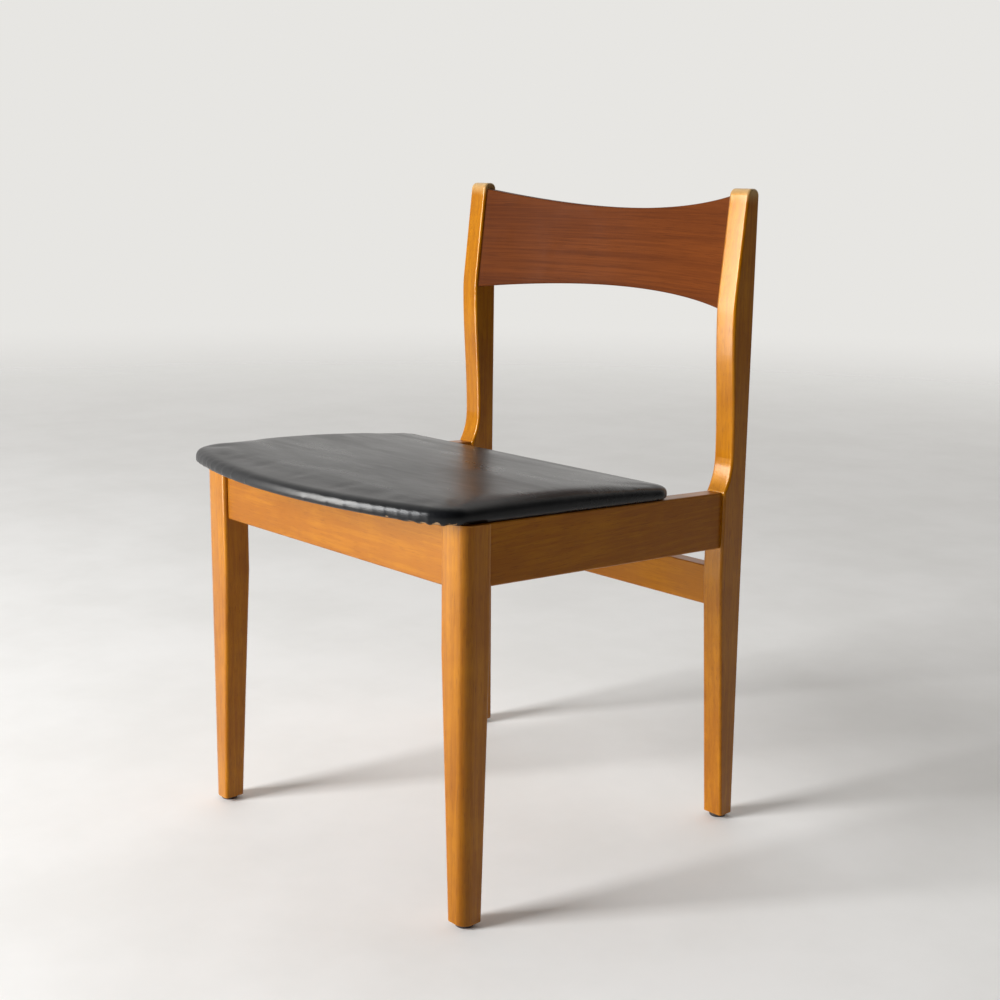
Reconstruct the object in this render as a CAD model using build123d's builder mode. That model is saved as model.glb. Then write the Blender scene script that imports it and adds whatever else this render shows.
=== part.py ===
"""Dining chair: a low-backed wooden frame with a bent veneered backrest and a padded seat.

Millimetres, +Z up, the sitter faces -Y and +X is to the right as seen from the front.
The origin is on the floor, midway across the chair and midway between the cushion's front
and the backrest's rear.  Right-hand pieces are drawn and the left-hand ones are mirrored.
"""
from build123d import *
from math import asin, cos, radians, sin, sqrt, tan
import os

# ---- overall sizes
chair_height = 740          # floor to the tops of the rear posts
chair_width = 460           # over the outer faces of the front legs
rail_run = 360              # from the front legs to the rear posts, along the side rails

# ---- front legs: plumb outside, tapered on the inner and rear faces near the floor
leg_width = 39
leg_depth = 34
leg_taper_top = 290         # below this height the legs thin towards the floor
foot_width = 26.5
foot_depth = 26
leg_corner_radius = 12      # the big soft corner at the front outside
leg_edge = 4.5              # rounding of the legs' other long edges

# ---- rear posts: sawn from a plank, shaped on the front edge, nearly plumb behind
post_width = 27
post_depth = 37.7           # at the side rails
post_step_in = 3            # outer faces, in from those of the front legs
post_taper_top = 300        # below this height the posts thin towards the floor
post_foot_front = 19.5      # front edge at the glide, behind the rail joint
post_foot_rear = 40.5       # rear edge at the glide, behind the rail joint
post_bend_radius = 120      # where the taper starts
post_lip_radius = 6         # where the hollow starts, at the top of the side rail
waist_height = 38           # of the hollow that sweeps up from the side rail
waist_inset = 11.4          # its depth
belly_drop = 3.5            # the posts come furthest forward this far under the backrest
belly_inset = 3.8
belly_radius = 160
post_edge = 3               # rounding of the posts' long edges
post_crown_radius = 8       # rounding of the posts' tops, front and rear
post_crown_limit = 0.49     # the most of a post's depth that one rounding may take

# ---- rails
rail_thickness = 20
front_rail_recess = 5       # its face, behind the front of the legs
side_rail_recess = 7        # their faces, in from the outer faces of the legs
side_rail_height = 65
front_rail_height = 67
rail_top_rear = 402         # top of the side rails at the rear posts
seat_slope = 3              # degrees, the rails and the seat rise towards the front
rail_edge = 2
rear_rail_bottom = 264.5
rear_rail_height = 46.5
rear_rail_thickness = 19
rear_rail_recess = 7.5

# ---- seat bearer and corner blocks, under the seat
bearer_setback = 138        # from the rear posts to the bearer's rear face
bearer_thickness = 22
bearer_height = 34
bearer_drop = 3             # bearer and blocks stop this far below the rails' top
block_width = 43            # of a corner block, along each rail
block_leg_gap = 3           # between a block's back and the corner of the leg

# ---- seat: plywood board, foam, and a vinyl cover turned under the board
seat_side_inset = 4         # the seat's edges, in from the outer faces of the legs
seat_overhang = 65.5        # past the front of the legs, at the middle
seat_rear_gap = 84.8        # from the seat's rear edge to the rear posts
seat_bow_radius = 580       # of the front edge, in plan
seat_front_corner = 38
seat_rear_corner = 22
least_corner = 6            # of the outlines drawn in from the seat's edge
seat_thickness = 22         # midway from front to rear, where the crown is highest
seat_end_thickness = 15     # at the front and the rear, before the edges are rounded
seat_roll = 9.5             # rounding of the top edge
seat_under_roll = 4         # rounding of the bottom edge
cover_thickness = 1.2
cover_return = 34           # width of vinyl turned under the board
board_thickness = 9

# ---- backrest: bent plywood core with a face and a back veneer
back_lean = 6.75            # degrees, as the front of the posts above the belly
back_sag = 45               # depth of the bend
back_inset = 4              # panel face, behind the front of the posts
core_thickness = 9.6
veneer_thickness = 0.7
back_top_drop = 8           # the panel's ends, below the tops of the posts
back_height = 124.5         # of the panel at the posts
back_top_dip = 18.5         # of its top edge, midway
back_bottom_arch = 11.5     # of its bottom edge, midway
back_edge = 1.5             # rounding of the panel's long edges

# ---- joints and fixings
dowel_radius = 4
dowel_length = 34
dowel_bite = 15             # length in a leg or post, the rest is in the rail
dowel_end_gap = 1
dowel_chamfer = 0.8
rail_dowel_spacing = 32
rear_rail_dowel_spacing = 24
bearer_dowel_length = 30
bearer_dowel_bite = 11
bearer_dowel_spacing = 16
back_dowel_radius = 3
back_dowel_length = 28
back_dowel_bite = 10
back_dowel_spacing = 40
screw_radius = 2
screw_head_radius = 4
screw_head_height = 2.4
screw_slot_width = 0.9
screw_slot_depth = 1.1
head_clearance = 0.5        # around a sunk screw head
head_pocket = 40            # length cut away outside a sunk screw head
seat_screw_grip = 22        # wood between a seat screw's head and the top of its block
seat_screw_bite = 7         # in the seat board
seat_screw_x = 120          # of the two screws through the bearer
block_screw_grip = 12       # wood between a block screw's head and the rail
block_screw_bite = 13       # in a rail
staple_width = 10
staple_leg = 7
staple_thickness = 0.7
staple_breadth = 1.2
staple_inset = 26           # from the seat's edge
staple_pitch = 32
glide_radius = 9.5
glide_height = 5
glide_edge = 1.5
nail_head_radius = 4
nail_head_height = 1.4
nail_head_floor = 1.6       # glide material left under the nail head
nail_radius = 1.3
nail_length = 20

# ---- worked-out sizes
slope = radians(seat_slope)
lean = radians(back_lean)
leg_outer_x = chair_width / 2
leg_inner_x = leg_outer_x - leg_width
post_outer_x = leg_outer_x - post_step_in
post_inner_x = post_outer_x - post_width
side_rail_face = leg_outer_x - side_rail_recess
side_rail_inner = side_rail_face - rail_thickness
back_top_end = chair_height - back_top_drop
back_top_middle = back_top_end - back_top_dip
back_bottom_end = back_top_end - back_height
back_bottom_middle = back_bottom_end + back_bottom_arch
panel_thickness = core_thickness + 2 * veneer_thickness
bend_radius = (post_inner_x**2 + back_sag**2) / (2 * back_sag)

# The belly of the posts runs into the leaning line through a tangent arc.
belly_z = back_bottom_end - belly_drop
belly_top_y = belly_inset + belly_radius * (1 - cos(lean))
belly_top_z = belly_z + belly_radius * sin(lean)


def leaning_front(z):
    """Depth of the posts' leaning front face behind the rail joint, at height z."""
    return belly_top_y + (z - belly_top_z) * tan(lean)


# The chair's depth is split evenly about the origin.
panel_back = back_inset / cos(lean) + (back_sag + panel_thickness) / cos(lean)
reach_behind = leaning_front(back_top_middle) + panel_back
reach_ahead = rail_run + leg_depth + seat_overhang
post_face_y = (reach_ahead - reach_behind) / 2
leg_rear_y = post_face_y - rail_run
leg_front_y = leg_rear_y - leg_depth
front_rail_y = leg_front_y + front_rail_recess
front_rail_rear_y = front_rail_y + rail_thickness
rail_middle_x = side_rail_face - rail_thickness / 2

# The plane of the rails' tops: local x across, y to the rear, z out of the seat.
seat_plane = Plane(
    origin=(0, post_face_y, rail_top_rear), x_dir=(1, 0, 0), z_dir=(0, sin(slope), cos(slope))
)
# The backrest's own plane, through the ends of its front face: z runs up the panel.
back_foot_y = post_face_y + leaning_front(back_bottom_end) + back_inset / cos(lean)
back_plane = Plane(
    origin=(0, back_foot_y, back_bottom_end), x_dir=(1, 0, 0), z_dir=(0, sin(lean), cos(lean))
)


def rail_top(y):
    """Height of the rails' tops at depth y."""
    return rail_top_rear + (post_face_y - y) * tan(slope)


def across(x, y, z):
    """A place for a round piece that lies along X."""
    return Plane(origin=(x, y, z), z_dir=(1, 0, 0))


def along(x, y, z):
    """A place for a round piece that lies along Y."""
    return Plane(origin=(x, y, z), z_dir=(0, 1, 0))


def dowels(places, radius=dowel_radius, length=dowel_length):
    """Chamfered dowels, one at each place."""
    with BuildPart() as group:
        with Locations(*places):
            Cylinder(radius, length)
        chamfer(group.edges().filter_by(GeomType.CIRCLE), dowel_chamfer)
    return group


def bore_dowels(places, radius=dowel_radius, length=dowel_length):
    """Dowel holes in the open part, a little deeper than the dowels."""
    with Locations(*places):
        Cylinder(radius, length + 2 * dowel_end_gap, mode=Mode.SUBTRACT)


def mirrored(piece):
    """The left-hand twin of a right-hand piece."""
    with BuildPart() as twin:
        mirror(piece.part, about=Plane.YZ)
    return twin


# ---- where the dowels go
side_rail_middle_front = rail_top(leg_rear_y) - side_rail_height / 2
side_rail_middle_rear = rail_top_rear - side_rail_height / 2
front_rail_bottom = rail_top(leg_front_y) - front_rail_height
front_rail_middle_y = front_rail_y + rail_thickness / 2
front_rail_middle_z = front_rail_bottom + front_rail_height / 2
rear_rail_y = post_face_y + rear_rail_recess
rear_rail_middle_y = rear_rail_y + rear_rail_thickness / 2
rear_rail_middle_z = rear_rail_bottom + rear_rail_height / 2
bearer_rear_y = post_face_y - bearer_setback
bearer_middle_y = bearer_rear_y - bearer_thickness / 2
bearer_middle_z = rail_top(bearer_middle_y) - bearer_drop - bearer_height / 2

into_leg = dowel_bite - dowel_length / 2
sides = (-1, 1)
front_rail_joint = [
    across(side * (leg_inner_x + into_leg), front_rail_middle_y, front_rail_middle_z + dz)
    for side in sides
    for dz in (-rail_dowel_spacing / 2, rail_dowel_spacing / 2)
]
side_rail_front_joint = [
    along(side * rail_middle_x, leg_rear_y - into_leg, side_rail_middle_front + dz)
    for side in sides
    for dz in (-rail_dowel_spacing / 2, rail_dowel_spacing / 2)
]
side_rail_rear_joint = [
    along(side * rail_middle_x, post_face_y + into_leg, side_rail_middle_rear + dz)
    for side in sides
    for dz in (-rail_dowel_spacing / 2, rail_dowel_spacing / 2)
]
rear_rail_joint = [
    across(side * (post_inner_x + into_leg), rear_rail_middle_y, rear_rail_middle_z + dz)
    for side in sides
    for dz in (-rear_rail_dowel_spacing / 2, rear_rail_dowel_spacing / 2)
]
into_side_rail = bearer_dowel_bite - bearer_dowel_length / 2
bearer_joint = [
    across(side * (side_rail_inner + into_side_rail), bearer_middle_y, bearer_middle_z + dz)
    for side in sides
    for dz in (-bearer_dowel_spacing / 2, bearer_dowel_spacing / 2)
]

# The backrest's dowels follow the panel's own direction where it meets the posts.
middle_radius = bend_radius + panel_thickness / 2
end_turn = asin(post_inner_x / middle_radius)
end_depth = back_sag - bend_radius + middle_radius * cos(end_turn)
into_post = back_dowel_bite - back_dowel_length / 2
back_end_rise = (back_top_end - back_bottom_end) / cos(lean) / 2
backrest_joint = [
    Plane(
        origin=back_plane.from_local_coords(
            (
                side * (post_inner_x + into_post * cos(end_turn)),
                end_depth - into_post * sin(end_turn),
                back_end_rise + step * back_dowel_spacing,
            )
        ),
        z_dir=back_plane.from_local_coords((side * cos(end_turn), -sin(end_turn), 0))
        - back_plane.origin,
    )
    for side in sides
    for step in (-1, 0, 1)
]

front_rail_dowels = dowels(front_rail_joint)
side_rail_front_dowels = dowels(side_rail_front_joint)
side_rail_rear_dowels = dowels(side_rail_rear_joint)
rear_rail_dowels = dowels(rear_rail_joint)
bearer_dowels = dowels(bearer_joint, length=bearer_dowel_length)
backrest_dowels = dowels(backrest_joint, back_dowel_radius, back_dowel_length)

# ---- glides: plastic discs moulded on a nail's head
rear_foot_y = post_face_y + (post_foot_front + post_foot_rear) / 2
front_foot = (leg_outer_x - foot_width / 2, leg_front_y + foot_depth / 2)
rear_foot = (post_outer_x - post_width / 2, rear_foot_y)
feet = {
    "front_right": front_foot,
    "rear_right": rear_foot,
    "front_left": (-front_foot[0], front_foot[1]),
    "rear_left": (-rear_foot[0], rear_foot[1]),
}
with BuildPart() as glide_nails:
    for foot in feet.values():
        with BuildSketch(Plane.XY.offset(nail_head_floor)):
            with Locations(foot):
                Circle(nail_head_radius)
        extrude(amount=nail_head_height)
        with BuildSketch(Plane.XY.offset(nail_head_floor)):
            with Locations(foot):
                Circle(nail_radius)
        extrude(amount=nail_length)

glides = {}
for corner, foot in feet.items():
    with BuildPart() as glide:
        with BuildSketch():
            with Locations(foot):
                Circle(glide_radius)
        extrude(amount=glide_height)
        fillet(glide.edges().group_by(Axis.Z)[0], glide_edge)
        add(glide_nails.part, mode=Mode.SUBTRACT)
    glides[corner] = glide


# ---- front legs
def leg_section(z, width, depth):
    """The right front leg's section at height z, held at its front outer corner."""
    with BuildSketch(Plane.XY.offset(z)) as section:
        with BuildLine():
            FilletPolyline(
                (leg_outer_x, leg_front_y),
                (leg_outer_x, leg_front_y + depth),
                (leg_outer_x - width, leg_front_y + depth),
                (leg_outer_x - width, leg_front_y),
                radius=[leg_corner_radius, leg_edge, leg_edge, leg_edge],
                close=True,
            )
        make_face()
    return section.sketch


with BuildPart() as front_leg_right:
    knee = leg_section(leg_taper_top, leg_width, leg_depth)
    loft([leg_section(glide_height, foot_width, foot_depth), knee])
    extrude(knee, amount=chair_height - leg_taper_top)
    split(bisect_by=seat_plane, keep=Keep.BOTTOM)
    bore_dowels(front_rail_joint)
    bore_dowels(side_rail_front_joint)
    add(glide_nails.part, mode=Mode.SUBTRACT)
front_leg_left = mirrored(front_leg_right)

# ---- rear posts
waist = (post_face_y + waist_inset, rail_top_rear + waist_height)
belly = (post_face_y + belly_inset, belly_z)
belly_top = (post_face_y + belly_top_y, belly_top_z)
post_top = (post_face_y + leaning_front(chair_height), chair_height)
rear_face_y = post_face_y + post_depth
foot_front = (post_face_y + post_foot_front, glide_height)
foot_rear = (post_face_y + post_foot_rear, glide_height)

with BuildPart() as rear_post_right:
    with BuildSketch(Plane.YZ.offset(post_inner_x)) as side_view:
        with BuildLine():
            Polyline(foot_front, (post_face_y, post_taper_top), (post_face_y, rail_top_rear))
            TangentArc(waist, (post_face_y, rail_top_rear), tangent=(0, -1))
            Spline(waist, belly, tangents=((0, 1), (0, 1)))
            TangentArc(belly, belly_top, tangent=(0, 1))
            Polyline(
                belly_top,
                post_top,
                (rear_face_y, chair_height),
                (rear_face_y, post_taper_top),
                foot_rear,
                foot_front,
            )
        make_face()
        top_depth = rear_face_y - post_top[0]
        crown_radius = min(post_crown_radius, post_crown_limit * top_depth)
        fillet(side_view.vertices().group_by(Axis.Y)[-1], crown_radius)
        for bend in ((post_face_y, post_taper_top), (rear_face_y, post_taper_top)):
            fillet(side_view.vertices().sort_by_distance(bend)[0], post_bend_radius)
        lip = side_view.vertices().sort_by_distance((post_face_y, rail_top_rear))[0]
        fillet(lip, post_lip_radius)
    extrude(amount=post_width)
    outlines = rear_post_right.faces().filter_by(Axis.X).edges()
    fillet(outlines.group_by(Axis.Z)[1:], post_edge)
    bore_dowels(side_rail_rear_joint)
    bore_dowels(rear_rail_joint)
    bore_dowels(backrest_joint, back_dowel_radius, back_dowel_length)
    add(glide_nails.part, mode=Mode.SUBTRACT)
rear_post_left = mirrored(rear_post_right)


# ---- corner blocks' and seat's screws
def screws(places, length):
    """Slotted pan-head screws, each with its head's outer face at a place."""
    lifted = (Align.CENTER, Align.CENTER, Align.MIN)
    with BuildPart() as group:
        with Locations(*places):
            Cylinder(screw_head_radius, screw_head_height, align=lifted)
            Cylinder(screw_radius, length, align=lifted)
            Box(
                2 * screw_head_radius,
                screw_slot_width,
                screw_slot_depth,
                align=lifted,
                mode=Mode.SUBTRACT,
            )
    return group


def bore_screws(places, length):
    """Shank holes in the open part, and pockets that open outwards for the heads."""
    with Locations(*places):
        Cylinder(
            screw_radius,
            length,
            align=(Align.CENTER, Align.CENTER, Align.MIN),
            mode=Mode.SUBTRACT,
        )
    pockets = [place.offset(screw_head_height) for place in places]
    with Locations(*pockets):
        Cylinder(
            screw_head_radius + head_clearance,
            head_pocket,
            align=(Align.CENTER, Align.CENTER, Align.MAX),
            mode=Mode.SUBTRACT,
        )


block_web = side_rail_inner - leg_inner_x + leg_rear_y - front_rail_rear_y + block_leg_gap
block_reach = block_web + block_width
block_screw_place = (block_web + block_reach) / 2
block_middle = block_screw_place / 2
block_middle_y = front_rail_rear_y + block_middle
block_top = rail_top(block_middle_y) - bearer_drop
block_screw_z = block_top - bearer_height / 2
block_screw_out = block_screw_grip + screw_head_height
block_screw_length = block_screw_out + block_screw_bite
block_screw_places = [
    Plane(
        origin=(
            side * (side_rail_inner - block_screw_place),
            front_rail_rear_y + block_screw_out,
            block_screw_z,
        ),
        z_dir=(0, -1, 0),
    )
    for side in sides
] + [
    Plane(
        origin=(
            side * (side_rail_inner - block_screw_out),
            front_rail_rear_y + block_screw_place,
            block_screw_z,
        ),
        z_dir=(side, 0, 0),
    )
    for side in sides
]

seat_screw_length = (
    screw_head_height + seat_screw_grip + bearer_drop + cover_thickness + seat_screw_bite
)
seat_screw_start = -bearer_drop - seat_screw_grip - screw_head_height
seat_screw_spots = [
    (side_rail_inner - block_middle, block_middle_y),
    (seat_screw_x, bearer_middle_y),
]
seat_screw_places = [
    Plane(
        origin=seat_plane.from_local_coords(
            (side * x, (y - post_face_y) / cos(slope), seat_screw_start)
        ),
        z_dir=seat_plane.z_dir,
    )
    for x, y in seat_screw_spots
    for side in sides
]
corner_block_screws = screws(block_screw_places, block_screw_length)
seat_screws = screws(seat_screw_places, seat_screw_length)

# ---- rails
with BuildPart() as front_rail:
    with BuildSketch(Plane.YZ):
        with BuildLine():
            Polyline(
                (front_rail_y, front_rail_bottom),
                (front_rail_y, rail_top(front_rail_y)),
                (front_rail_rear_y, rail_top(front_rail_rear_y)),
                (front_rail_rear_y, front_rail_bottom),
                close=True,
            )
        make_face()
    extrude(amount=leg_inner_x, both=True)
    fillet(front_rail.edges().filter_by(Axis.X), rail_edge)
    bore_dowels(front_rail_joint)
    bore_screws(block_screw_places, block_screw_length)

with BuildPart() as side_rail_right:
    with BuildSketch(Plane.YZ.offset(side_rail_inner)):
        with BuildLine():
            Polyline(
                (leg_rear_y, rail_top(leg_rear_y)),
                (post_face_y, rail_top_rear),
                (post_face_y, rail_top_rear - side_rail_height),
                (leg_rear_y, rail_top(leg_rear_y) - side_rail_height),
                close=True,
            )
        make_face()
    extrude(amount=rail_thickness)
    sloping = side_rail_right.edges().filter_by(lambda edge: edge.length > rail_run - 1)
    fillet(sloping, rail_edge)
    bore_dowels(side_rail_front_joint)
    bore_dowels(side_rail_rear_joint)
    bore_dowels(bearer_joint, length=bearer_dowel_length)
    bore_screws(block_screw_places, block_screw_length)
side_rail_left = mirrored(side_rail_right)

with BuildPart() as rear_rail:
    with BuildSketch(Plane.YZ):
        with Locations((rear_rail_y, rear_rail_bottom)):
            Rectangle(rear_rail_thickness, rear_rail_height, align=Align.MIN)
    extrude(amount=post_inner_x, both=True)
    fillet(rear_rail.edges().filter_by(Axis.X), rail_edge)
    bore_dowels(rear_rail_joint)

# ---- bearer and corner blocks
with BuildPart() as seat_bearer:
    with BuildSketch(Plane.YZ):
        with Locations((bearer_rear_y, bearer_middle_z)):
            Rectangle(bearer_thickness, bearer_height, align=(Align.MAX, Align.CENTER))
    extrude(amount=side_rail_inner, both=True)
    fillet(seat_bearer.edges().filter_by(Axis.X), rail_edge)
    bore_dowels(bearer_joint, length=bearer_dowel_length)
    bore_screws(seat_screw_places, seat_screw_length)

with BuildPart() as corner_block_right:
    with BuildSketch(Plane.XY.offset(block_top - bearer_height)):
        with BuildLine():
            Polyline(
                (side_rail_inner, front_rail_rear_y + block_reach),
                (side_rail_inner, front_rail_rear_y + block_web),
                (side_rail_inner - block_web, front_rail_rear_y),
                (side_rail_inner - block_reach, front_rail_rear_y),
                close=True,
            )
        make_face()
    extrude(amount=bearer_height)
    bore_screws(block_screw_places, block_screw_length)
    bore_screws(seat_screw_places, seat_screw_length)
corner_block_left = mirrored(corner_block_right)

# ---- seat
seat_front = -reach_ahead / cos(slope)
seat_rear = -seat_rear_gap / cos(slope)
seat_middle = (seat_front + seat_rear) / 2
seat_half_width = leg_outer_x - seat_side_inset
seat_half_length = (seat_rear - seat_front) / 2
crown_rise = seat_thickness - seat_end_thickness
seat_crown_radius = (seat_half_length**2 + crown_rise**2) / (2 * crown_rise)
out_of_seat = Axis(seat_plane.origin, seat_plane.z_dir)


def seat_outline(height, inset):
    """The cushion's plan at a height over the rails, drawn in by an inset."""
    half_width = seat_half_width - inset
    bow = seat_bow_radius - inset
    bow_centre = seat_front + seat_bow_radius
    shoulder = bow_centre - sqrt(bow**2 - half_width**2)
    rear = seat_rear - inset
    with BuildSketch(seat_plane.offset(height)) as outline:
        with BuildLine():
            ThreePointArc(
                (-half_width, shoulder), (0, seat_front + inset), (half_width, shoulder)
            )
            Polyline(
                (half_width, shoulder),
                (half_width, rear),
                (-half_width, rear),
                (-half_width, shoulder),
            )
        make_face()
        front_corners = outline.vertices().group_by(Axis.Y)[0]
        fillet(front_corners, max(seat_front_corner - inset, least_corner))
        rear_corners = outline.vertices().group_by(Axis.Y)[-1]
        fillet(rear_corners, max(seat_rear_corner - inset, least_corner))
    return outline.sketch


def cushion(inset):
    """The seat solid, crowned from front to rear and drawn in all round by an inset."""
    with BuildPart() as body:
        extrude(seat_outline(inset, inset), amount=seat_thickness)
        with Locations(
            seat_plane.from_local_coords((0, seat_middle, seat_thickness - seat_crown_radius))
        ):
            Cylinder(
                seat_crown_radius - inset, chair_width, rotation=(0, 90, 0), mode=Mode.INTERSECT
            )
        top = body.faces().sort_by(out_of_seat)[-1]
        fillet(top.edges(), seat_roll - inset)
        under = body.faces().sort_by(out_of_seat)[0]
        fillet(under.edges(), seat_under_roll - inset)
    return body.part


filling = cushion(cover_thickness)
board_top = seat_plane.offset(cover_thickness + board_thickness)

with BuildPart() as seat_board:
    add(filling)
    split(bisect_by=board_top, keep=Keep.BOTTOM)
    bore_screws(seat_screw_places, seat_screw_length)

with BuildPart() as seat_foam:
    add(filling)
    split(bisect_by=board_top, keep=Keep.TOP)

with BuildPart() as seat_cover:
    add(cushion(0))
    add(filling, mode=Mode.SUBTRACT)
    extrude(seat_outline(0, cover_return), amount=cover_thickness, mode=Mode.SUBTRACT)


def over_the_front(place):
    """Whether a staple here would lie on top of a front leg or the front rail."""
    beside = abs(place.X) > leg_inner_x - staple_width
    over_leg = beside and leg_front_y - staple_width < place.Y < leg_rear_y + staple_width
    over_rail = front_rail_y - staple_width < place.Y < front_rail_rear_y + staple_width
    return over_leg or over_rail


staple_line = seat_outline(0, staple_inset).face().outer_wire()
staple_count = round(staple_line.length / staple_pitch)
staple_runs = [(number + 0.5) * staple_line.length / staple_count for number in range(staple_count)]
staple_places = []
for run in staple_runs:
    place = staple_line.position_at(run, position_mode=PositionMode.LENGTH)
    heading = staple_line.tangent_at(run, position_mode=PositionMode.LENGTH)
    across_run = heading.cross(seat_plane.z_dir)
    if not over_the_front(place):
        staple_places.append(Plane(origin=place, x_dir=heading, z_dir=across_run))

with BuildPart() as seat_staples:
    for upright in staple_places:
        with BuildSketch(upright):
            Rectangle(staple_width, staple_thickness, align=(Align.CENTER, Align.MAX))
            with Locations((-staple_width / 2, 0)):
                Rectangle(staple_thickness, staple_leg, align=(Align.MIN, Align.MIN))
            with Locations((staple_width / 2, 0)):
                Rectangle(staple_thickness, staple_leg, align=(Align.MAX, Align.MIN))
        extrude(amount=staple_breadth / 2, both=True)

# ---- backrest
panel_rise = back_top_end - back_bottom_end + 2 * back_sag
bend_depth = 3 * (back_sag + panel_thickness)   # takes in the bend, but not the ring's far side


def bent_layer(inner, outer):
    """A slab between two offsets from the panel's front face, taller than the panel."""
    with BuildPart() as layer:
        with BuildSketch(back_plane.offset(-back_sag)):
            with Locations((0, back_sag - bend_radius)):
                Circle(bend_radius + outer)
                Circle(bend_radius + inner, mode=Mode.SUBTRACT)
            Rectangle(2 * post_inner_x, bend_depth, mode=Mode.INTERSECT)
        extrude(amount=panel_rise)
    return layer.part


with BuildPart() as backrest_panel:
    add(bent_layer(0, panel_thickness))
    with BuildSketch(Plane.XZ):
        with BuildLine():
            ThreePointArc(
                (-post_inner_x, back_top_end), (0, back_top_middle), (post_inner_x, back_top_end)
            )
            Line((post_inner_x, back_top_end), (post_inner_x, back_bottom_end))
            ThreePointArc(
                (post_inner_x, back_bottom_end),
                (0, back_bottom_middle),
                (-post_inner_x, back_bottom_end),
            )
            Line((-post_inner_x, back_bottom_end), (-post_inner_x, back_top_end))
        make_face()
    extrude(amount=reach_ahead, both=True, mode=Mode.INTERSECT)
    long_edges = backrest_panel.edges().filter_by(lambda edge: edge.length > post_inner_x)
    fillet(long_edges, back_edge)
    bore_dowels(backrest_joint, back_dowel_radius, back_dowel_length)

layers = {
    "backrest_front_veneer": (0, veneer_thickness),
    "backrest_core": (veneer_thickness, veneer_thickness + core_thickness),
    "backrest_rear_veneer": (veneer_thickness + core_thickness, panel_thickness),
}
backrest = {}
for name, offsets in layers.items():
    with BuildPart() as layer:
        add(backrest_panel.part)
        add(bent_layer(*offsets), mode=Mode.INTERSECT)
    backrest[name] = layer

# ---- files
pieces = {
    "front_leg_left": front_leg_left,
    "front_leg_right": front_leg_right,
    "rear_post_left": rear_post_left,
    "rear_post_right": rear_post_right,
    "front_rail": front_rail,
    "side_rail_left": side_rail_left,
    "side_rail_right": side_rail_right,
    "rear_rail": rear_rail,
    "seat_bearer": seat_bearer,
    "corner_block_left": corner_block_left,
    "corner_block_right": corner_block_right,
    "seat_board": seat_board,
    "seat_foam": seat_foam,
    "seat_cover": seat_cover,
    "seat_staples": seat_staples,
    "seat_screws": seat_screws,
    "corner_block_screws": corner_block_screws,
    "front_rail_dowels": front_rail_dowels,
    "side_rail_front_dowels": side_rail_front_dowels,
    "side_rail_rear_dowels": side_rail_rear_dowels,
    "rear_rail_dowels": rear_rail_dowels,
    "bearer_dowels": bearer_dowels,
    "backrest_dowels": backrest_dowels,
    "glide_nails": glide_nails,
}
pieces.update(backrest)
pieces.update({f"glide_{corner}": glide for corner, glide in glides.items()})

os.makedirs("parts", exist_ok=True)
for name, piece in pieces.items():
    piece.part.label = name
    export_step(piece.part, f"parts/{name}.step")
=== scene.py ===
"""A dining chair's looks: the studio, the frame's finishes, and the padded vinyl seat.

Metres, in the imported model's frame: +Z up, the sitter faces -Y, origin on the floor.
"""
import bmesh
import bpy
from math import atan2, cos, hypot, pi, radians, sin
from mathutils import Matrix, Vector


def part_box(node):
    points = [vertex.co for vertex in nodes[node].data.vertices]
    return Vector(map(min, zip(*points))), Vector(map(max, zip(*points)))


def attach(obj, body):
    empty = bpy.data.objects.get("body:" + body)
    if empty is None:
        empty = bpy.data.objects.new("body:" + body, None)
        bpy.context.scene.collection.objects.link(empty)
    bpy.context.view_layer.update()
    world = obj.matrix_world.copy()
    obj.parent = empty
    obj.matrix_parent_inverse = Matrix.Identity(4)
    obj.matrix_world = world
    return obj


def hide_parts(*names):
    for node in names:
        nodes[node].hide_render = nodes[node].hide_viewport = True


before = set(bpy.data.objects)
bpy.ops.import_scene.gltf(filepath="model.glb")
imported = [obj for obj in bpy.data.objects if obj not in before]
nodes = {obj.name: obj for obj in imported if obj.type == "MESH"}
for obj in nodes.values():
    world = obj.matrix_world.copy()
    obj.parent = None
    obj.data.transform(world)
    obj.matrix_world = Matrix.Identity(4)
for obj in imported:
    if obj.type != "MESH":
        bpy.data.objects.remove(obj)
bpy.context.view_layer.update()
mm = 0.001

# ---- places taken from the frame
side_rail_low, side_rail_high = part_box("side_rail_right")
front_leg_low, front_leg_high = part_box("front_leg_right")
post_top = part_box("rear_post_right")[1][2]
post_face_y = side_rail_high[1]
seat_slope = radians(3)

# The plane of the rails' tops: x across, y to the rear, z out of the seat.
seat_frame = Matrix.Translation((0, side_rail_low[1], side_rail_high[2])) @ Matrix.Rotation(
    -seat_slope, 4, "X"
)

# ---- the camera
camera_place = Vector((1.2823, post_face_y - 1.3361, 0.7559))
camera_yaw = 0.8184
camera_pitch = 0.2134
camera_roll = 0.0131
focal_length = 54.74        # millimetres, on a sensor 36 wide
sensor_width = 36


def place_camera():
    """The camera, a little above the backrest, ahead of the chair and to its +X side."""
    forward = Vector(
        (
            -sin(camera_yaw) * cos(camera_pitch),
            cos(camera_yaw) * cos(camera_pitch),
            -sin(camera_pitch),
        )
    )
    level_right = forward.cross(Vector((0, 0, 1))).normalized()
    level_up = level_right.cross(forward)
    right = cos(camera_roll) * level_right + sin(camera_roll) * level_up
    up = cos(camera_roll) * level_up - sin(camera_roll) * level_right
    lens = bpy.data.cameras.new("camera")
    lens.lens = focal_length
    lens.sensor_width = sensor_width
    camera = bpy.data.objects.new("camera", lens)
    bpy.context.scene.collection.objects.link(camera)
    turn = Matrix((right, up, -forward)).transposed().to_4x4()
    camera.matrix_world = Matrix.Translation(camera_place) @ turn
    bpy.context.scene.camera = camera


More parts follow.
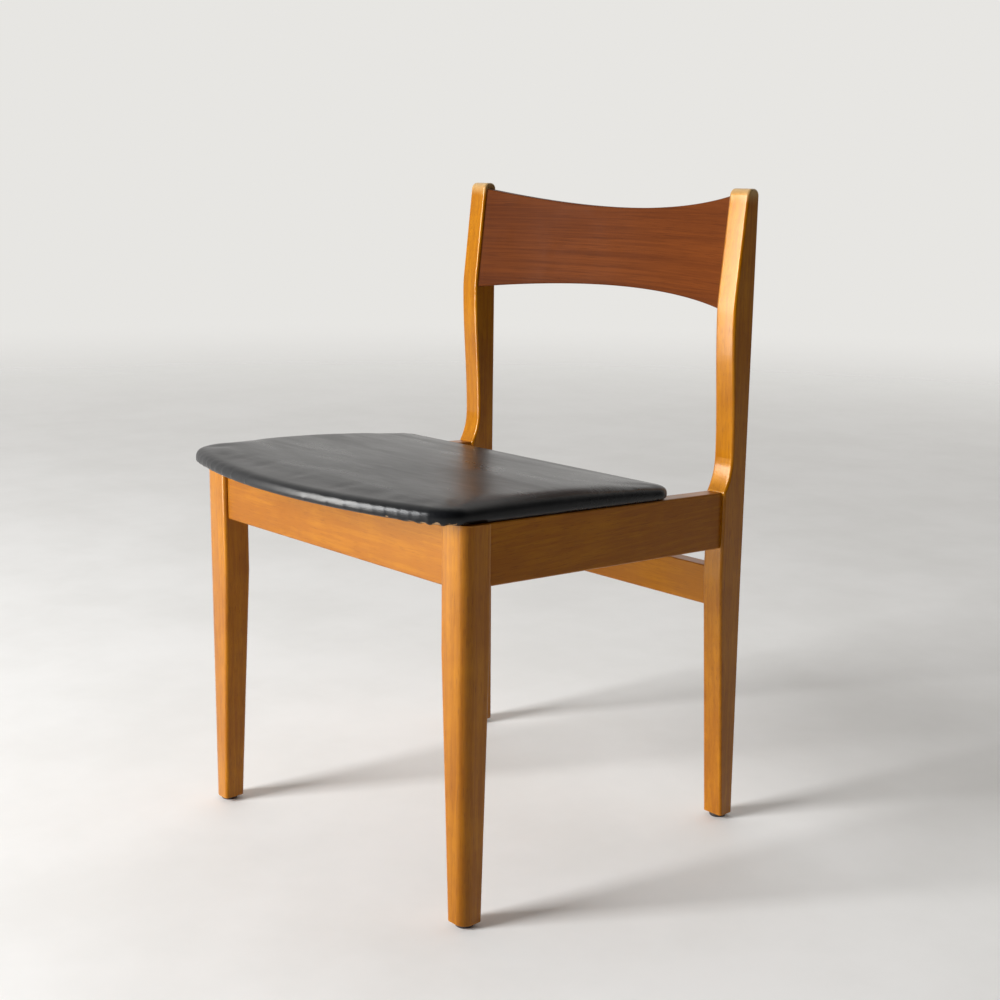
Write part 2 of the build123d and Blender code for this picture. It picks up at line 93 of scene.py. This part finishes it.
# ---- node helpers
def add(tree, kind, inputs=None, **settings):
    """A new node in a tree.  An input is a plain value or another node's output."""
    made = tree.nodes.new(kind)
    for name, value in settings.items():
        setattr(made, name, value)
    for name, value in (inputs or {}).items():
        if isinstance(value, bpy.types.NodeSocket):
            tree.links.new(value, made.inputs[name])
        else:
            made.inputs[name].default_value = value
    return made


def math_node(tree, operation, first, second=0.0):
    """One sum, and its result."""
    return add(tree, "ShaderNodeMath", {0: first, 1: second}, operation=operation).outputs[0]


def times(tree, first, second):
    """A product."""
    return math_node(tree, "MULTIPLY", first, second)


def plus(tree, first, second):
    """A total."""
    return math_node(tree, "ADD", first, second)


def ramp(tree, value, start, end, low=0.0, high=1.0):
    """A value eased from low at start to high at end, and held outside them."""
    settings = {"Value": value, "From Min": start, "From Max": end, "To Min": low, "To Max": high}
    return add(
        tree, "ShaderNodeMapRange", settings, interpolation_type="SMOOTHSTEP"
    ).outputs["Result"]


def blend_colour(tree, factor, first, second):
    """Two colours mixed by a factor."""
    colours = {0: factor, 6: first, 7: second}
    return add(tree, "ShaderNodeMix", colours, data_type="RGBA", clamp_factor=True).outputs[2]


def noise(tree, vector, scale, detail=2.0, roughness=0.5, distortion=0.0):
    """Plain noise from 0 to 1."""
    settings = {
        "Vector": vector,
        "Scale": scale,
        "Detail": detail,
        "Roughness": roughness,
        "Distortion": distortion,
    }
    return add(tree, "ShaderNodeTexNoise", settings).outputs[0]


def new_group(name, inputs, outputs):
    """An empty node group with its sockets."""
    tree = bpy.data.node_groups.new(name, "ShaderNodeTree")
    for label, kind, default in inputs:
        socket = tree.interface.new_socket(label, in_out="INPUT", socket_type=kind)
        if default is not None:
            socket.default_value = default
    for label, kind in outputs:
        tree.interface.new_socket(label, in_out="OUTPUT", socket_type=kind)
    return tree, tree.nodes.new("NodeGroupInput").outputs, tree.nodes.new("NodeGroupOutput").inputs


def use_group(tree, group, inputs):
    """A node group placed in a material."""
    return add(tree, "ShaderNodeGroup", inputs, node_tree=group).outputs


def new_finish(name, **shader):
    """A material with its Principled shader's constants set on the shader's own sockets."""
    material = bpy.data.materials.new(name)
    material.use_nodes = True
    tree = material.node_tree
    principled = tree.nodes["Principled BSDF"]
    for socket, value in shader.items():
        principled.inputs[socket.replace("_", " ")].default_value = value
    place = add(tree, "ShaderNodeTexCoord").outputs["Object"]
    return material, tree, principled, place


def bump(tree, principled, height, distance, strength=1.0):
    """Relief on a shader, with a depth in metres."""
    relief = add(tree, "ShaderNodeBump", {"Height": height, "Distance": distance, "Strength": strength})
    tree.links.new(relief.outputs["Normal"], principled.inputs["Normal"])


# ---- shared effects
FLOAT, VECTOR = "NodeSocketFloat", "NodeSocketVector"


def make_timber_grain():
    """Growth bands, short dark flecks and pores along a stretched direction."""
    tree, given, result = new_group(
        "timber_grain",
        [("Vector", VECTOR, None), ("Band Scale", FLOAT, 160.0), ("Fleck Scale", FLOAT, 1300.0)],
        [("Bands", FLOAT), ("Flecks", FLOAT), ("Height", FLOAT)],
    )
    bands = noise(tree, given["Vector"], given["Band Scale"], 4.0, 0.55, 0.5)
    flecks = noise(tree, given["Vector"], given["Fleck Scale"], 1.5, 0.5, 0.2)
    dark_flecks = ramp(tree, flecks, 0.56, 0.72)
    tree.links.new(ramp(tree, bands, 0.3, 0.7), result["Bands"])
    tree.links.new(dark_flecks, result["Flecks"])
    hollow = times(tree, dark_flecks, -0.6)
    tree.links.new(plus(tree, hollow, bands), result["Height"])
    return tree


def make_edge_wear():
    """A broken-up mask along sharp or slightly rounded edges."""
    tree, given, result = new_group(
        "edge_wear",
        [("Vector", VECTOR, None), ("Radius", FLOAT, 0.004), ("Breakup Scale", FLOAT, 90.0)],
        [("Mask", FLOAT)],
    )
    rounded = add(tree, "ShaderNodeBevel", {"Radius": given["Radius"]}, samples=4)
    facing = add(tree, "ShaderNodeNewGeometry").outputs["Normal"]
    agreement = add(tree, "ShaderNodeVectorMath", operation="DOT_PRODUCT")
    tree.links.new(rounded.outputs["Normal"], agreement.inputs[0])
    tree.links.new(facing, agreement.inputs[1])
    edge = ramp(tree, agreement.outputs["Value"], 0.995, 0.9)
    patches = ramp(tree, noise(tree, given["Vector"], given["Breakup Scale"], 3.0, 0.6), 0.35, 0.65)
    tree.links.new(times(tree, edge, patches), result["Mask"])
    return tree


def make_handling():
    """Roughness that wanders with years of polish and hands."""
    tree, given, result = new_group(
        "handling",
        [("Vector", VECTOR, None), ("Smoothest", FLOAT, 0.3), ("Roughest", FLOAT, 0.45)],
        [("Roughness", FLOAT)],
    )
    smears = noise(tree, given["Vector"], 22.0, 4.0, 0.6, 0.4)
    spread = add(
        tree,
        "ShaderNodeMapRange",
        {
            "Value": smears,
            "From Min": 0.3,
            "From Max": 0.7,
            "To Min": given["Smoothest"],
            "To Max": given["Roughest"],
        },
    )
    tree.links.new(spread.outputs["Result"], result["Roughness"])
    return tree


timber_grain = make_timber_grain()
edge_wear = make_edge_wear()
handling = make_handling()


def paint(tree, principled, place, colour, smoothest, roughest):
    """Gives a shader its colour, and a roughness that wanders between two values."""
    tree.links.new(colour, principled.inputs["Base Color"])
    worn = use_group(
        tree, handling, {"Vector": place, "Smoothest": smoothest, "Roughest": roughest}
    )
    tree.links.new(worn["Roughness"], principled.inputs["Roughness"])


# ---- finishes
along_grain = 0.045         # how far the grain is stretched, as a scale along it
grain_scales = {
    "X": (along_grain, 1, 1),
    "Y": (1, along_grain, 1),
    "Z": (1, 1, along_grain),
}
amber = (0.42, 0.150, 0.0008, 1)
dark_amber = (0.28, 0.082, 0.0004, 1)
fleck_brown = (0.12, 0.026, 0.0005, 1)
worn_amber = (0.76, 0.38, 0.07, 1)
lacquer_glow = (1.0, 0.50, 0.07, 1)
bare_top = (0.55, 0.38, 0.17, 1)
corner_radius = 0.075       # of the front legs' sanded outer corners
corner_start = 0.0065       # from a leg's inner side, where that rounding starts
wear_depth = 0.012          # how far the bare wood runs down from a post's top
wear_rise = 0.008           # above the top, where the wood would be wholly bare
pore_depth = 0.00002
post_gloss = 0.4            # the rails are duller than legs and posts, and painted darker as shade for their place under the seat
rail_gloss = 0.12
rail_painted_shade = 0.4


def soft_corner(tree, place):
    """Relief of a front leg's outer corner, sanded round from near the middle of its face."""
    across = add(tree, "ShaderNodeSeparateXYZ", {"Vector": place}).outputs["X"]
    from_middle = math_node(tree, "ABSOLUTE", across)
    beyond = math_node(tree, "SUBTRACT", from_middle, front_leg_low[0] + corner_start)
    past = math_node(tree, "MAXIMUM", beyond, 0.0)
    return times(tree, times(tree, past, past), -0.5 / corner_radius)


def lacquered_wood(name, axis, number, gloss, painted_shade, worn_top=None, sanded_corner=False):
    """Stained and lacquered beech with its grain along an axis, paler where it has worn, and darkened
    by a painted shade where one is given.
    """
    material, tree, principled, place = new_finish(
        name,
        Coat_Weight=gloss,
        Coat_Roughness=0.1,
        Coat_IOR=1.45,
        IOR=1.45,
        Specular_IOR_Level=0.5,
        Specular_Tint=lacquer_glow,
    )
    stretched = add(
        tree,
        "ShaderNodeMapping",
        {"Vector": place, "Location": (0.37 * number, 0.53 * number, 0.21 * number),
         "Scale": grain_scales[axis]},
    ).outputs[0]
    grain = use_group(
        tree, timber_grain, {"Vector": stretched, "Band Scale": 210.0, "Fleck Scale": 1500.0}
    )
    clouds = ramp(tree, noise(tree, place, 16.0, 3.0, 0.55, 0.3), 0.32, 0.68)
    depth = plus(tree, times(tree, grain["Bands"], 0.6), times(tree, clouds, 0.4))
    # a painted shade darkens the rails' stain here, standing in for the shade under the seat
    stain_and_painted_shade = blend_colour(tree, plus(tree, depth, painted_shade), amber, dark_amber)
    flecked = blend_colour(tree, times(tree, grain["Flecks"], 0.5), stain_and_painted_shade, fleck_brown)
    wear = use_group(tree, edge_wear, {"Vector": place, "Radius": 0.0035, "Breakup Scale": 60.0})
    colour = blend_colour(tree, times(tree, wear["Mask"], 0.35), flecked, worn_amber)
    if worn_top is not None:
        height = add(tree, "ShaderNodeSeparateXYZ", {"Vector": place}).outputs["Z"]
        ragged = plus(tree, height, times(tree, noise(tree, place, 70.0, 3.0), wear_depth))
        bare = ramp(tree, ragged, worn_top - wear_depth, worn_top + wear_rise)
        colour = blend_colour(tree, times(tree, bare, 0.8), colour, bare_top)
    paint(tree, principled, place, colour, 0.3, 0.42)
    height = times(tree, grain["Height"], pore_depth)
    if sanded_corner:
        height = plus(tree, height, soft_corner(tree, place))
    bump(tree, principled, height, 1.0)
    return material


teak = (0.140, 0.035, 0.006, 1)
teak_dark = (0.085, 0.020, 0.004, 1)
teak_line = (0.035, 0.009, 0.002, 1)


def teak_veneer(name, number):
    """Reddish-brown veneer with fine level streaks and a few thin dark lines."""
    material, tree, principled, place = new_finish(
        name, IOR=1.4, Specular_IOR_Level=0.04
    )
    streaked = add(
        tree,
        "ShaderNodeMapping",
        {"Vector": place, "Location": (0.4 * number, 0, 0.3 * number), "Scale": (0.02, 0.02, 1)},
    ).outputs[0]
    grain = use_group(
        tree, timber_grain, {"Vector": streaked, "Band Scale": 330.0, "Fleck Scale": 1500.0}
    )
    broad = ramp(tree, noise(tree, streaked, 60.0, 2.0, 0.5, 0.6), 0.35, 0.65)
    depth = plus(tree, times(tree, grain["Bands"], 0.65), times(tree, broad, 0.35))
    base = blend_colour(tree, depth, teak, teak_dark)
    lines = ramp(tree, noise(tree, streaked, 190.0, 3.0, 0.6, 0.3), 0.68, 0.74)
    flecks = times(tree, grain["Flecks"], 0.35)
    marks = math_node(tree, "MAXIMUM", times(tree, lines, 0.6), flecks)
    colour = blend_colour(tree, marks, base, teak_line)
    paint(tree, principled, place, colour, 0.5, 0.6)
    bump(tree, principled, grain["Height"], 0.00005, 0.7)
    return material


def stained_plywood(name, light, dark, ply_pair, across):
    """Plywood whose plies show as stripes, with the thickness of a pair of plies."""
    material, tree, principled, place = new_finish(name, IOR=1.45, Specular_IOR_Level=0.4)
    level = add(tree, "ShaderNodeSeparateXYZ", {"Vector": place}).outputs[across]
    wander = times(tree, noise(tree, place, 20.0, 2.0), 0.0006)
    plies = math_node(tree, "SINE", times(tree, plus(tree, level, wander), 2 * pi / ply_pair))
    grain_place = add(
        tree, "ShaderNodeMapping", {"Vector": place, "Scale": (along_grain, 1, 1)}
    ).outputs[0]
    grain = use_group(
        tree, timber_grain, {"Vector": grain_place, "Band Scale": 90.0, "Fleck Scale": 700.0}
    )
    stripes = times(tree, ramp(tree, plies, -0.6, 0.6), 0.35)
    depth = plus(tree, stripes, times(tree, grain["Bands"], 0.5))
    colour = blend_colour(tree, depth, light, dark)
    paint(tree, principled, place, colour, 0.55, 0.75)
    bump(tree, principled, grain["Height"], 0.00008)
    return material


def bare_wood(name, axis, number):
    """Unfinished beech, as on hidden blocks, bearers and dowels."""
    material, tree, principled, place = new_finish(name, IOR=1.45, Specular_IOR_Level=0.3)
    stretched = add(
        tree,
        "ShaderNodeMapping",
        {"Vector": place, "Location": (0.2 * number, 0, 0), "Scale": grain_scales[axis]},
    ).outputs[0]
    grain = use_group(
        tree, timber_grain, {"Vector": stretched, "Band Scale": 140.0, "Fleck Scale": 1000.0}
    )
    base = blend_colour(tree, grain["Bands"], (0.56, 0.34, 0.17, 1), (0.44, 0.24, 0.11, 1))
    colour = blend_colour(tree, times(tree, grain["Flecks"], 0.5), base, (0.24, 0.12, 0.05, 1))
    paint(tree, principled, place, colour, 0.6, 0.8)
    bump(tree, principled, grain["Height"], 0.0001)
    return material


def black_vinyl():
    """Coated seat cloth: a fine pebbled grain, soft creases and a dull polish."""
    material, tree, principled, place = new_finish("black_vinyl", IOR=1.33)
    pebbles = add(
        tree, "ShaderNodeTexVoronoi", {"Vector": place, "Scale": 1100.0}, feature="SMOOTH_F1"
    ).outputs["Distance"]
    drawn = add(tree, "ShaderNodeMapping", {"Vector": place, "Scale": (0.3, 1, 1)}).outputs[0]
    creases = noise(tree, drawn, 130.0, 4.0, 0.6, 0.3)
    tone = ramp(tree, noise(tree, place, 30.0, 4.0, 0.6), 0.3, 0.7)
    colour = blend_colour(tree, tone, (0.005, 0.0055, 0.0065, 1), (0.009, 0.0095, 0.011, 1))
    paint(tree, principled, drawn, colour, 0.25, 0.36)
    relief = plus(tree, times(tree, pebbles, 0.35), creases)
    bump(tree, principled, relief, 0.00022)
    return material


def steel():
    """Dull zinc-plated steel, spotted with age."""
    material, tree, principled, place = new_finish("steel", Metallic=1.0)
    spots = ramp(tree, noise(tree, place, 400.0, 4.0, 0.7), 0.45, 0.7)
    colour = blend_colour(tree, spots, (0.50, 0.49, 0.47, 1), (0.26, 0.21, 0.16, 1))
    paint(tree, principled, place, colour, 0.35, 0.5)
    bump(tree, principled, spots, 0.00003)
    return material


def glide_plastic():
    """Dark brown moulded plastic, scratched pale where it slides."""
    material, tree, principled, place = new_finish("glide_plastic", IOR=1.48)
    height = add(tree, "ShaderNodeSeparateXYZ", {"Vector": place}).outputs["Z"]
    scratches = ramp(tree, noise(tree, place, 500.0, 3.0, 0.6), 0.5, 0.7)
    low = ramp(tree, height, 0.0016, 0.0002)
    scuffed = times(tree, scratches, low)
    colour = blend_colour(tree, scuffed, (0.022, 0.014, 0.010, 1), (0.12, 0.10, 0.085, 1))
    paint(tree, principled, place, colour, 0.4, 0.6)
    bump(tree, principled, scratches, 0.00003)
    return material


def finish_node(name, material):
    """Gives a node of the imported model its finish."""
    for slot in nodes[name].material_slots:
        slot.material = material


def finish_frame():
    """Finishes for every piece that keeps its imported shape."""
    frame_grain = {
        "front_leg_left": "Z",
        "front_leg_right": "Z",
        "rear_post_left": "Z",
        "rear_post_right": "Z",
        "front_rail": "X",
        "side_rail_left": "Y",
        "side_rail_right": "Y",
        "rear_rail": "X",
    }
    for number, (name, axis) in enumerate(frame_grain.items()):
        worn_top = post_top if name.startswith("rear_post") else None
        leg = name.startswith("front_leg")
        # the rails take a painted shade for their place under the seat; legs and posts take none
        gloss, painted_shade = (rail_gloss, rail_painted_shade) if "rail" in name else (post_gloss, 0.0)
        wood = lacquered_wood(f"amber_{name}", axis, number, gloss, painted_shade, worn_top, leg)
        finish_node(name, wood)
    finish_node("backrest_front_veneer", teak_veneer("teak_front", 0))
    finish_node("backrest_rear_veneer", teak_veneer("teak_rear", 1))
    edge_ply = stained_plywood(
        "backrest_plies", (0.14, 0.045, 0.018, 1), (0.05, 0.016, 0.007, 1), 0.0024, "Y"
    )
    finish_node("backrest_core", edge_ply)
    board_ply = stained_plywood(
        "board_plies", (0.50, 0.33, 0.18, 1), (0.36, 0.21, 0.10, 1), 0.003, "Z"
    )
    finish_node("seat_board", board_ply)
    hidden_wood = {
        "seat_bearer": "X",
        "corner_block_left": "Z",
        "corner_block_right": "Z",
        "front_rail_dowels": "X",
        "side_rail_front_dowels": "Y",
        "side_rail_rear_dowels": "Y",
        "rear_rail_dowels": "X",
        "bearer_dowels": "X",
        "backrest_dowels": "X",
    }
    for number, (name, axis) in enumerate(hidden_wood.items()):
        finish_node(name, bare_wood(f"bare_{name}", axis, number))
    plated = steel()
    for name in ("seat_screws", "corner_block_screws", "seat_staples", "glide_nails"):
        finish_node(name, plated)
    plastic = glide_plastic()
    for name in ("glide_front_left", "glide_front_right", "glide_rear_left", "glide_rear_right"):
        finish_node(name, plastic)


# ---- the seat, worked out in the plane of the rails' tops
voxel = 0.004
first_smoothing = 10        # passes over the remeshed foam
last_smoothing = 6          # passes over the swollen vinyl
cloth_frames = 20
swell_limit = 0.0010        # the most that the vinyl moves as the foam fills it
held_height = 0.011         # the vinyl is drawn tight over the board below this height
loose_height = 0.017        # and swells freely above this one
return_width = 0.034        # vinyl turned under the board
return_step = 0.0024        # up from the turned-under vinyl into the board
bow_radius = 0.580          # of the front edge
front_corner = 0.038
rear_corner = 0.022
pleat_pitch = 0.48          # radians between the pleats round a front corner
pleat_reach = 0.009         # how far the pleats run up the side
pleat_full = 0.010          # inside the outline, as far as the pleats are full
pleat_fade = 0.020          # and how much further in they fade out
pleat_depth = 0.0004
pleat_sag = 0.0008          # how far a pleat hangs where nothing is under it

to_seat = seat_frame.inverted()
cover_points = [to_seat @ vertex.co for vertex in nodes["seat_cover"].data.vertices]
seat_half_width = max(point.x for point in cover_points)
seat_front = min(point.y for point in cover_points)
seat_rear = max(point.y for point in cover_points)
seat_heart = Vector((0, (seat_front + seat_rear) / 2, 0.008))
leg_front = (to_seat @ Vector((0, front_leg_low[1], front_leg_high[2]))).y


def inset_of(point):
    """How far a point lies inside the seat's outline."""
    from_side = seat_half_width - abs(point.x)
    from_rear = seat_rear - point.y
    from_front = bow_radius - hypot(point.x, point.y - seat_front - bow_radius)
    corner, from_end = min((front_corner, from_front), (rear_corner, from_rear), key=lambda end: end[1])
    if from_side < corner and from_end < corner:
        return corner - hypot(corner - from_side, corner - from_end)
    return min(from_side, from_end)


def new_object(name, shape, material):
    """A smooth-shaded object at the origin, in the scene."""
    mesh = bpy.data.meshes.new(name)
    shape.to_mesh(mesh)
    shape.free()
    made = bpy.data.objects.new(name, mesh)
    bpy.context.scene.collection.objects.link(made)
    if material is not None:
        mesh.materials.append(material)
    mesh.shade_smooth()
    return made


def with_modifiers(piece):
    """A bmesh of a piece as its modifiers leave it."""
    evaluated = piece.evaluated_get(bpy.context.evaluated_depsgraph_get())
    shaped = bmesh.new()
    shaped.from_mesh(evaluated.to_mesh())
    evaluated.to_mesh_clear()
    return shaped


def soften(shape, points, times):
    """Evens out the given points of a shape."""
    for _ in range(times):
        bmesh.ops.smooth_vert(
            shape, verts=points, factor=0.5, use_axis_x=True, use_axis_y=True, use_axis_z=True
        )


def cover_skin():
    """The outside of the stretched vinyl, as a surface to draw the padding onto."""
    shape = bmesh.new()
    shape.from_mesh(nodes["seat_cover"].data)
    bmesh.ops.remove_doubles(shape, verts=shape.verts, dist=0.01 * mm)
    bmesh.ops.transform(shape, matrix=to_seat, verts=shape.verts)
    shape.normal_update()
    inside = [
        face for face in shape.faces if face.normal.dot(face.calc_center_median() - seat_heart) < 0
    ]
    bmesh.ops.delete(shape, geom=inside, context="FACES")
    return new_object("cover_skin", shape, None)


def filling():
    """The board and the foam as one closed form of even quads, drawn out to the vinyl."""
    shape = bmesh.new()
    for name in ("seat_board", "seat_foam"):
        shape.from_mesh(nodes[name].data)
    bmesh.ops.remove_doubles(shape, verts=shape.verts, dist=0.01 * mm)
    bmesh.ops.transform(shape, matrix=to_seat, verts=shape.verts)
    block = new_object("seat_filling", shape, None)
    remesh = block.modifiers.new("remesh", "REMESH")
    remesh.mode = "VOXEL"
    remesh.voxel_size = voxel
    even = with_modifiers(block)
    bpy.data.objects.remove(block)
    even.normal_update()
    underneath = [point for point in even.verts if point.normal.z < -0.9 and point.co.z < voxel]
    flat = {point.index: (point.co.x, point.co.y, 0) for point in underneath}
    soften(even, [point for point in even.verts if point.co.z > held_height], first_smoothing)
    skin = cover_skin()
    loose = new_object("seat_loose", even, None)
    wrap = loose.modifiers.new("wrap", "SHRINKWRAP")
    wrap.target = skin
    wrap.wrap_method = "NEAREST_SURFACEPOINT"
    wrap.wrap_mode = "ON_SURFACE"
    drawn = with_modifiers(loose)
    bpy.data.objects.remove(loose)
    bpy.data.objects.remove(skin)
    drawn.verts.ensure_lookup_table()
    for index, place in flat.items():
        drawn.verts[index].co = place
    return drawn


def swell(block):
    """Inflates the stretched vinyl over the foam, held along the board."""
    scene = bpy.context.scene
    held = block.vertex_groups.new(name="held")
    on_board = [vertex.index for vertex in block.data.vertices if vertex.co.z < held_height]
    held.add(on_board, 1.0, "REPLACE")
    cloth = block.modifiers.new("cloth", "CLOTH")
    settings = cloth.settings
    settings.quality = 6
    settings.mass = 0.4
    settings.tension_stiffness = 8
    settings.compression_stiffness = 8
    settings.shear_stiffness = 6
    settings.bending_stiffness = 6
    settings.use_pressure = True
    settings.uniform_pressure_force = 4
    settings.vertex_group_mass = "held"
    settings.effector_weights.gravity = 0
    cloth.point_cache.frame_start = 1
    cloth.point_cache.frame_end = cloth_frames
    for number in range(1, cloth_frames + 1):
        scene.frame_set(number)
    swollen = with_modifiers(block)
    scene.frame_set(1)
    return swollen


def pleat(point):
    """How far a point is on the ridge of a pleat, from 0 to 1, and how strong the pleats are."""
    centre_x = seat_half_width - front_corner
    across = abs(point.x) - centre_x
    ahead = leg_front - 0.002 - point.y
    turn = atan2(ahead, across)
    ridge = (0.5 + 0.5 * cos(2 * pi * turn / pleat_pitch)) ** 3
    beside_corner = max(0.0, 1 - hypot(max(0.0, -across), max(0.0, -ahead)) / (1.2 * front_corner))
    near_edge = max(0.0, 1 - max(0.0, inset_of(point) - pleat_full) / pleat_fade)
    low = max(0.0, 1 - point.z / pleat_reach)
    return ridge, beside_corner * near_edge * low


def fold_pleats(shape):
    """Gathers the vinyl where it turns under at the front corners."""
    shape.normal_update()
    for point in shape.verts:
        if point.co.z > pleat_reach or inset_of(point.co) > return_width:
            continue
        ridge, strength = pleat(point.co)
        hollow = pleat_depth * strength * (1 - ridge)
        if point.normal.z < -0.7:
            point.co.z += hollow
        else:
            point.co -= point.normal * hollow
        if point.co.y < leg_front:
            point.co.z -= pleat_sag * strength * ridge


def turn_under(shape):
    """Opens the underside inside the turned-under vinyl, up to the board."""
    shape.normal_update()
    inner = [
        face
        for face in shape.faces
        if face.normal.z < -0.9
        and face.calc_center_median().z < 0.5 * mm
        and inset_of(face.calc_center_median()) > return_width
    ]
    rim = {
        vertex
        for face in inner
        for vertex in face.verts
        if any(beside not in inner for beside in vertex.link_faces)
    }
    for vertex in rim:
        inwards = (seat_heart - vertex.co).normalized()
        short = return_width - inset_of(vertex.co)
        vertex.co.x += inwards.x * short
        vertex.co.y += inwards.y * short
    raised = bmesh.ops.extrude_face_region(shape, geom=inner)["geom"]
    bmesh.ops.delete(shape, geom=inner, context="FACES")
    for item in raised:
        if isinstance(item, bmesh.types.BMVert):
            item.co.z += return_step


def padded_seat(material):
    """The crowned vinyl seat over its foam, flat underneath where it rests on the rails."""
    shape = filling()
    start = [point.co.copy() for point in shape.verts]
    block = new_object("seat_block", shape, None)
    shape = swell(block)
    bpy.data.objects.remove(block)
    for point, begun in zip(shape.verts, start):
        shift = point.co - begun
        free = min(1.0, max(0.0, (begun.z - held_height) / (loose_height - held_height)))
        limit = swell_limit * free
        if shift.length > limit:
            point.co = begun + shift * (limit / shift.length)
    soften(shape, [point for point in shape.verts if point.co.z > loose_height], last_smoothing)
    turn_under(shape)
    shell = new_object("seat_shell", shape, None)
    finer = shell.modifiers.new("finer", "SUBSURF")
    finer.levels = finer.render_levels = 1
    fine = with_modifiers(shell)
    bpy.data.objects.remove(shell)
    fold_pleats(fine)
    bmesh.ops.recalc_face_normals(fine, faces=fine.faces)
    bmesh.ops.transform(fine, matrix=seat_frame, verts=fine.verts)
    return new_object("seat_padding", fine, material)


# ---- the studio
floor_radius = 6.0
fade_start = 1.3            # from the chair, where the floor starts to fade
aim_height = 0.45           # the highest that a lamp points at
bright_side = (-0.73, 0.65, 0.22)
backdrop_colour = (0.80, 0.79, 0.765, 1)


def studio_floor():
    """A plain pale floor that fades into the backdrop."""
    shape = bmesh.new()
    bmesh.ops.create_circle(shape, cap_ends=True, radius=floor_radius, segments=96)
    material, tree, principled, place = new_finish("studio_floor", IOR=1.4, Specular_IOR_Level=0.3)
    mottle = ramp(tree, noise(tree, place, 3.0, 5.0, 0.6), 0.3, 0.7)
    colour = blend_colour(tree, mottle, (0.82, 0.81, 0.79, 1), (0.88, 0.87, 0.855, 1))
    paint(tree, principled, place, colour, 0.5, 0.65)
    reach = add(tree, "ShaderNodeVectorMath", {0: place}, operation="LENGTH").outputs["Value"]
    solid = ramp(tree, reach, fade_start, floor_radius, 1, 0)
    tree.links.new(solid, principled.inputs["Alpha"])
    new_object("studio_floor", shape, material)


def soft_light(name, azimuth, distance, height, width, tall, power, colour):
    """A soft rectangular lamp that faces the chair.  Azimuth is in degrees from +X."""
    panel = bpy.data.lights.new(name, "AREA")
    panel.shape = "RECTANGLE"
    panel.size = width
    panel.size_y = tall
    panel.energy = power
    panel.color = colour
    lamp = bpy.data.objects.new(name, panel)
    bpy.context.scene.collection.objects.link(lamp)
    lamp.location = (
        distance * cos(radians(azimuth)),
        distance * sin(radians(azimuth)),
        height,
    )
    aim = Vector((0, 0, min(height, aim_height))) - lamp.location
    lamp.rotation_euler = aim.to_track_quat("-Z", "Y").to_euler()
    return lamp


def studio_air():
    """Soft light, brightest from behind the chair, and a plain pale backdrop for the camera."""
    world = bpy.data.worlds.new("studio_air")
    bpy.context.scene.world = world
    world.use_nodes = True
    tree = world.node_tree
    tree.nodes.clear()
    heading = add(tree, "ShaderNodeTexCoord").outputs["Generated"]
    lit_side = add(
        tree, "ShaderNodeVectorMath", {0: heading, 1: bright_side}, operation="DOT_PRODUCT"
    ).outputs["Value"]
    level = ramp(tree, lit_side, -0.1, 0.7, 0.03, 0.90)
    lighting = add(tree, "ShaderNodeBackground", {"Color": (1, 0.98, 0.95, 1), "Strength": level})
    backdrop = add(tree, "ShaderNodeBackground", {"Color": backdrop_colour, "Strength": 1.0})
    seen = add(tree, "ShaderNodeLightPath").outputs["Is Camera Ray"]
    mixed = add(tree, "ShaderNodeMixShader", {0: seen, 1: lighting.outputs[0], 2: backdrop.outputs[0]})
    end = add(tree, "ShaderNodeOutputWorld")
    tree.links.new(mixed.outputs[0], end.inputs["Surface"])


place_camera()
bpy.context.scene.view_settings.view_transform = "Standard"
studio_floor()
studio_air()
soft_light(
    "window", azimuth=250, distance=4.2, height=1.7, width=1.5, tall=2.6, power=330,
    colour=(0.98, 0.99, 1.0),
)

# A low, near strip seen only as a gleam along the upright edges and the rolled vinyl.
gleam = soft_light(
    "gleam", azimuth=240, distance=1.62, height=0.72, width=0.42, tall=1.38, power=44,
    colour=(1.0, 0.98, 0.94),
)
gleam.visible_diffuse = False

finish_frame()
vinyl = black_vinyl()
seat_padding = padded_seat(vinyl)
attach(seat_padding, "root")
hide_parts("seat_cover", "seat_foam")
